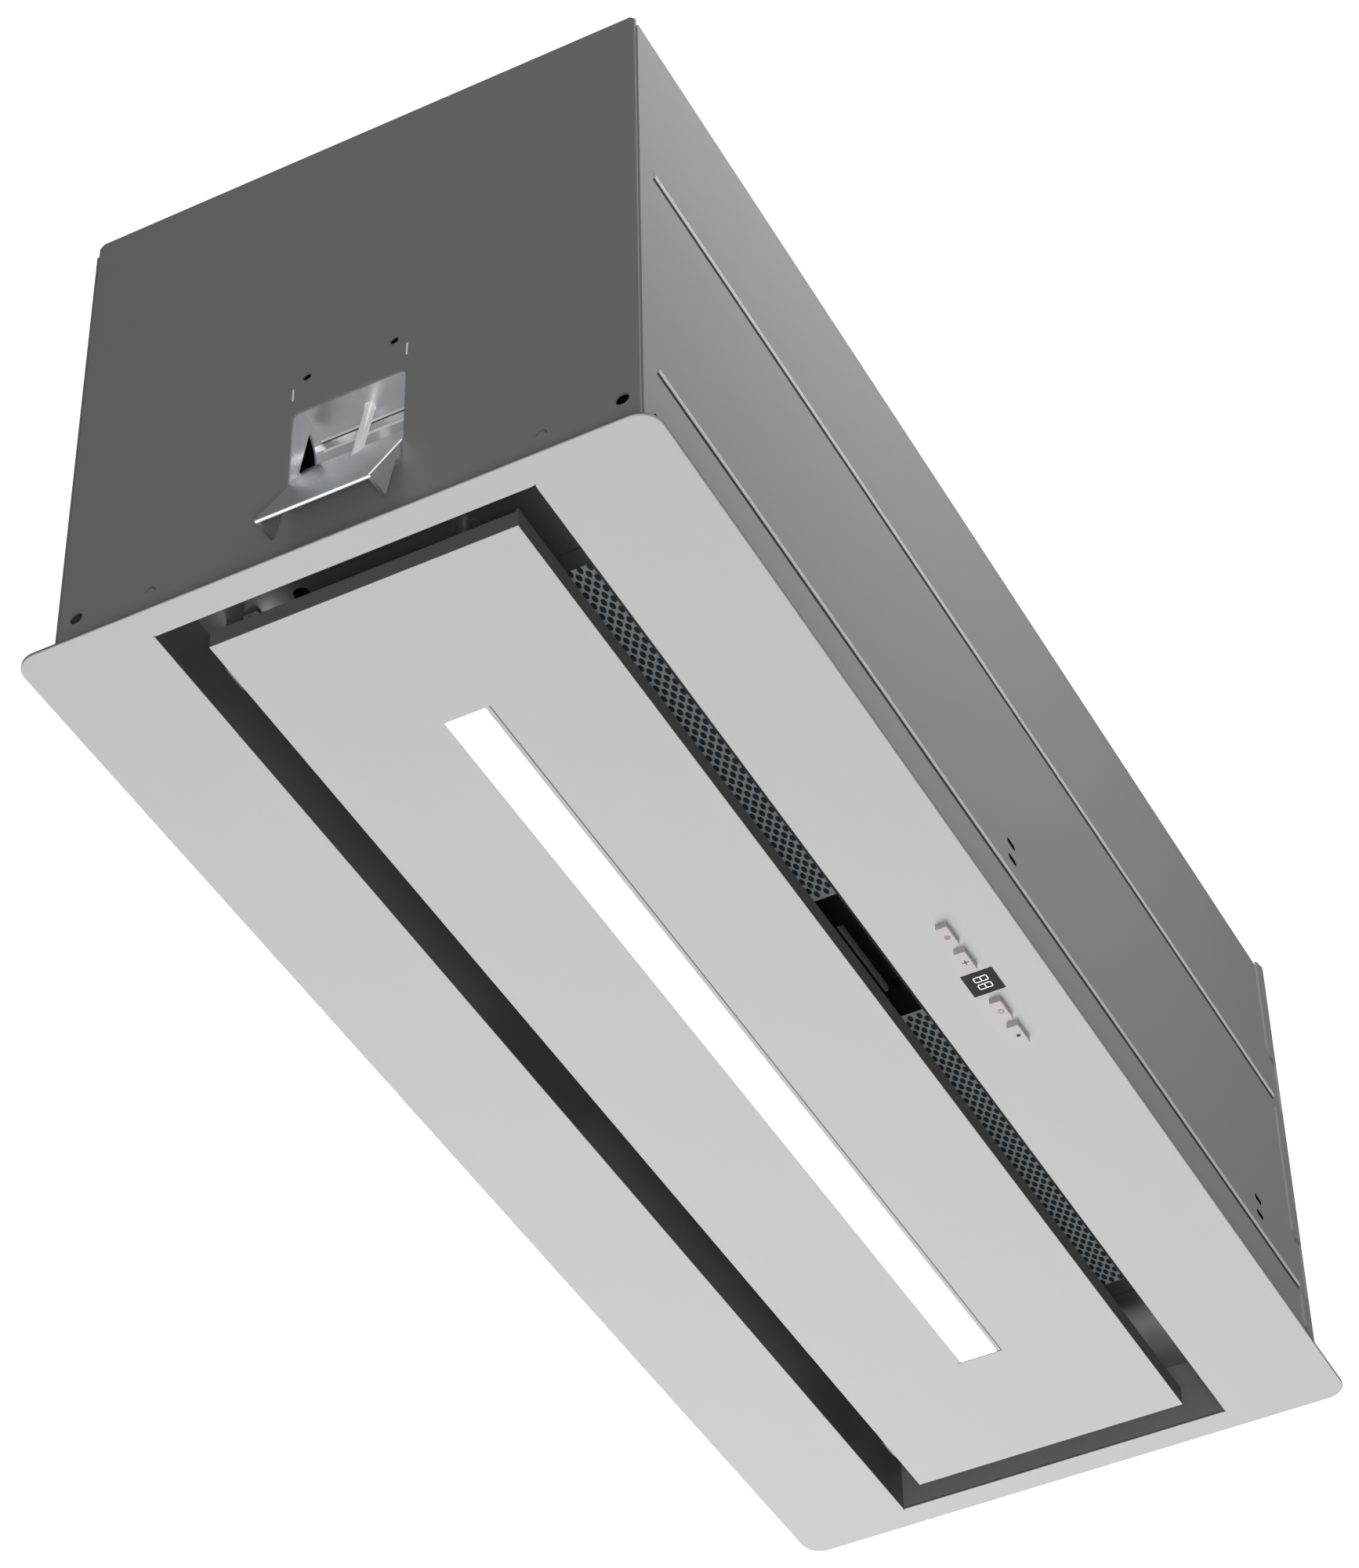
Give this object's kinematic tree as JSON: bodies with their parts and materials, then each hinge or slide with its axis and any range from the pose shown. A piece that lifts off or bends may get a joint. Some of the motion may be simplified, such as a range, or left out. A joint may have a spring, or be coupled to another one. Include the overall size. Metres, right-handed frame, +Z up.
{
  "type": "built-in range hood",
  "caption": "Cassette range hood for a wall cabinet: flat frame, flush drop-down panel with light strip, key row, grease filter, double-inlet blower and side clamps",
  "frame": {"origin": "Centre of the frame's visible lower face, which is the lowest face of the hood", "axes": "+X runs along the hood to the far end, +Y to the rear (the keys are at -Y), +Z up into the cabinet"},
  "size_m": [0.7186, 0.28, 0.296],
  "materials": {
    "frame_steel": "satin pale grey, even and smooth",
    "recess_steel": "dark brushed sheet, glossy along the fold",
    "housing_steel": "satin grey coated sheet, darker on the end plates",
    "galvanised": "bright galvanised sheet with faint spangle",
    "steel": "plain zinc-plated steel",
    "aluminium": "natural aluminium",
    "aluminium_mesh": "woven aluminium grease mesh",
    "brass": "sintered bearing metal",
    "rubber": "soft black rubber",
    "foam": "closed-cell foam strip",
    "black_plastic": "matt black moulding",
    "grey_plastic": "matt grey moulding",
    "key_plastic": "pale key faces with small printed signs",
    "black_gloss": "glossy black display window",
    "opal": "opal light lens, lit",
    "board": "green circuit board"
  },
  "bodies": {
    "hood": {"frame_panel": "frame_steel", "recess_channel": "recess_steel", "seal_strips": "foam", "front_sheet": "housing_steel", "rear_sheet": "housing_steel", "end_plate_near": "housing_steel", "end_plate_far": "housing_steel", "top_plate": "galvanised", "outlet_collar": "black_plastic", "flap_pin": "steel", "clamp_pocket_near": "galvanised", "clamp_pocket_far": "galvanised", "hinge_brackets": "galvanised", "hinge_pins": "steel", "catch_magnets": "steel", "filter_clips": "steel", "key_housing": "black_plastic", "control_board": "board", "display_window": "black_gloss", "scroll_wrap": "galvanised", "scroll_sides": "galvanised", "inlet_rings": "galvanised", "motor_stator": "steel", "motor_shell": "aluminium", "motor_bearings": "brass", "motor_bracket": "galvanised", "motor_grommets": "rubber", "power_box": "black_plastic", "power_box_lid": "black_plastic", "power_board": "board", "run_capacitor": "grey_plastic", "capacitor_strap": "galvanised", "mains_gland": "black_plastic", "pan_screws": "steel"},
    "impeller_body": {"impeller": "galvanised", "impeller_blades": "galvanised", "impeller_rings": "galvanised", "motor_rotor": "steel"},
    "flap_near_body": {"flap_near": "grey_plastic"},
    "flap_far_body": {"flap_far": "grey_plastic"},
    "hook_near_body": {"clamp_hook_near": "galvanised", "clamp_nut_near": "steel"},
    "hook_far_body": {"clamp_hook_far": "galvanised", "clamp_nut_far": "steel"},
    "screw_near_body": {"clamp_screw_near": "steel"},
    "screw_far_body": {"clamp_screw_far": "steel"},
    "panel_body": {"centre_panel": "frame_steel", "light_lens": "opal", "light_channel": "aluminium", "light_board": "board", "hinge_leaves": "galvanised", "catch_strikes": "steel"},
    "filter_body": {"filter_frame": "aluminium", "filter_mesh": "aluminium_mesh", "filter_grip": "black_plastic", "grip_bar": "grey_plastic"},
    "key_light_body": {"key_light": "key_plastic"},
    "key_plus_body": {"key_plus": "key_plastic"},
    "key_timer_body": {"key_timer": "key_plastic"},
    "key_power_body": {"key_power": "key_plastic"}
  },
  "joints": [
    {"name": "impeller_spin", "type": "hinge", "parent": "hood", "child": "impeller_body", "pos_m": [0, 0.041, 0.128], "axis": [1, 0, 0], "continuous": true},
    {"name": "flap_near_swing", "type": "hinge", "parent": "hood", "child": "flap_near_body", "pos_m": [0, 0, 0.268], "axis": [0, 1, 0], "range_deg": [0, 75]},
    {"name": "flap_far_swing", "type": "hinge", "parent": "hood", "child": "flap_far_body", "pos_m": [0, 0, 0.268], "axis": [0, -1, 0], "range_deg": [0, 75]},
    {"name": "clamp_near_slide", "type": "slide", "parent": "hood", "child": "hook_near_body", "axis": [0.2273, 0, 0.9738], "range_m": [0, 0.024]},
    {"name": "clamp_near_turn", "type": "hinge", "parent": "hood", "child": "screw_near_body", "pos_m": [-0.3206, 0, 0.1028], "axis": [0.2273, 0, 0.9738], "continuous": true},
    {"name": "clamp_far_slide", "type": "slide", "parent": "hood", "child": "hook_far_body", "axis": [-0.2273, 0, 0.9738], "range_m": [0, 0.024]},
    {"name": "clamp_far_turn", "type": "hinge", "parent": "hood", "child": "screw_far_body", "pos_m": [0.3206, 0, 0.1028], "axis": [-0.2273, 0, 0.9738], "continuous": true},
    {"name": "panel_open", "type": "hinge", "parent": "hood", "child": "panel_body", "pos_m": [0, 0.07, 0.009], "axis": [1, 0, 0], "range_deg": [0, 90]},
    {"name": "filter_tilt", "type": "hinge", "parent": "hood", "child": "filter_body", "pos_m": [0, 0.074, 0.036], "axis": [1, 0, 0], "range_deg": [0, 8]},
    {"name": "key_light_press", "type": "slide", "parent": "hood", "child": "key_light_body", "axis": [0, 0, 1], "range_m": [0, 0.0008], "stiffness_N_per_m": 800},
    {"name": "key_plus_press", "type": "slide", "parent": "hood", "child": "key_plus_body", "axis": [0, 0, 1], "range_m": [0, 0.0008], "stiffness_N_per_m": 800},
    {"name": "key_timer_press", "type": "slide", "parent": "hood", "child": "key_timer_body", "axis": [0, 0, 1], "range_m": [0, 0.0008], "stiffness_N_per_m": 800},
    {"name": "key_power_press", "type": "slide", "parent": "hood", "child": "key_power_body", "axis": [0, 0, 1], "range_m": [0, 0.0008], "stiffness_N_per_m": 800}
  ],
  "couplings": [
    {"joint": "clamp_near_turn", "follows": "clamp_near_slide", "rad_per_m": -8976},
    {"joint": "clamp_far_turn", "follows": "clamp_far_slide", "rad_per_m": -8976}
  ]
}
